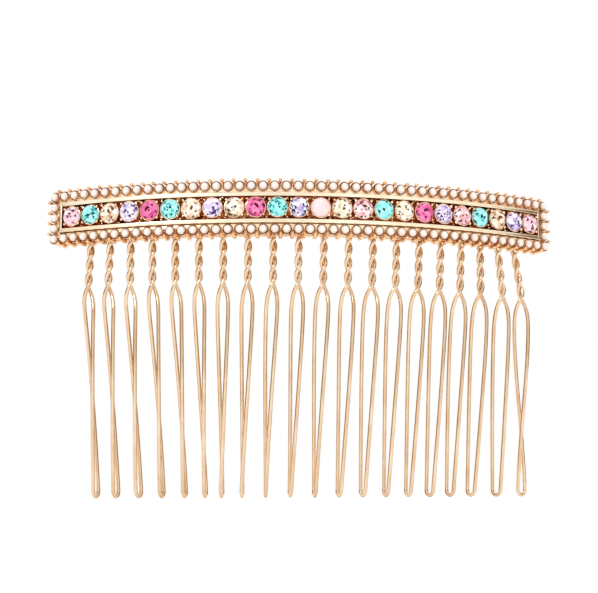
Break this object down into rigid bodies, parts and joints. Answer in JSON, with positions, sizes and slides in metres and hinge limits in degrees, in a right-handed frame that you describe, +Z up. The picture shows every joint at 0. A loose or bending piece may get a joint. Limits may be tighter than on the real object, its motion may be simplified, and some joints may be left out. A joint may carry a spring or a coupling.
{
  "type": "decorative hair comb",
  "caption": "Curved decorative hair comb: a band of faceted coloured stones framed by pearls, on long twisted-wire hairpin teeth that slide into the hair.",
  "frame": {"origin": "middle of the tooth row at the band's lower edge, where the teeth start", "axes": "+Z up out of the hair, -Z along the teeth; -Y out of the decorated convex face; +X along the band"},
  "size_m": [0.084, 0.0178, 0.0499],
  "materials": {
    "gold_casting": "polished rose gold plate",
    "gold_rail": "bright polished pale gold",
    "gold_cup": "polished rose gold plate",
    "gold_wire": "polished rose gold plated wire",
    "solder": "satin solder under plating",
    "pearl": "white nacre lustre",
    "stone_pink": "foil-backed faceted glass",
    "stone_aqua": "foil-backed faceted glass",
    "stone_peach": "foil-backed faceted glass",
    "stone_lavender": "foil-backed faceted glass",
    "stone_fuchsia": "foil-backed faceted glass",
    "stone_cream": "foil-backed faceted glass",
    "stone_violet": "foil-backed faceted glass",
    "stone_opal": "smooth opaque dome",
    "stone_rose": "foil-backed faceted glass"
  },
  "bodies": {
    "root": {"setting_plate": "gold_casting", "rail_frame": "gold_rail", "stone_cups": "gold_cup", "pearl_cups": "gold_cup", "ball_prongs_top": "gold_cup", "ball_prongs_bottom": "gold_cup", "ball_prongs_ends": "gold_cup", "rear_bar": "gold_casting", "solder_joints": "solder", "pearls_top_row": "pearl", "pearls_bottom_row": "pearl", "pearls_left_end": "pearl", "pearls_right_end": "pearl", "tooth_01": "gold_wire", "tooth_02": "gold_wire", "tooth_03": "gold_wire", "tooth_04": "gold_wire", "tooth_05": "gold_wire", "tooth_06": "gold_wire", "tooth_07": "gold_wire", "tooth_08": "gold_wire", "tooth_09": "gold_wire", "tooth_10": "gold_wire", "tooth_11": "gold_wire", "tooth_12": "gold_wire", "tooth_13": "gold_wire", "tooth_14": "gold_wire", "tooth_15": "gold_wire", "tooth_16": "gold_wire", "tooth_17": "gold_wire", "tooth_18": "gold_wire", "tooth_19": "gold_wire", "tooth_20": "gold_wire", "stone_01": "stone_pink", "stone_02": "stone_aqua", "stone_03": "stone_peach", "stone_04": "stone_lavender", "stone_05": "stone_fuchsia", "stone_06": "stone_aqua", "stone_07": "stone_peach", "stone_08": "stone_lavender", "stone_09": "stone_cream", "stone_10": "stone_fuchsia", "stone_11": "stone_aqua", "stone_12": "stone_violet", "stone_13": "stone_opal", "stone_14": "stone_cream", "stone_15": "stone_rose", "stone_16": "stone_aqua", "stone_17": "stone_cream", "stone_18": "stone_fuchsia", "stone_19": "stone_lavender", "stone_20": "stone_rose", "stone_21": "stone_aqua", "stone_22": "stone_peach", "stone_23": "stone_lavender", "stone_24": "stone_pink"}
  },
  "joints": []
}
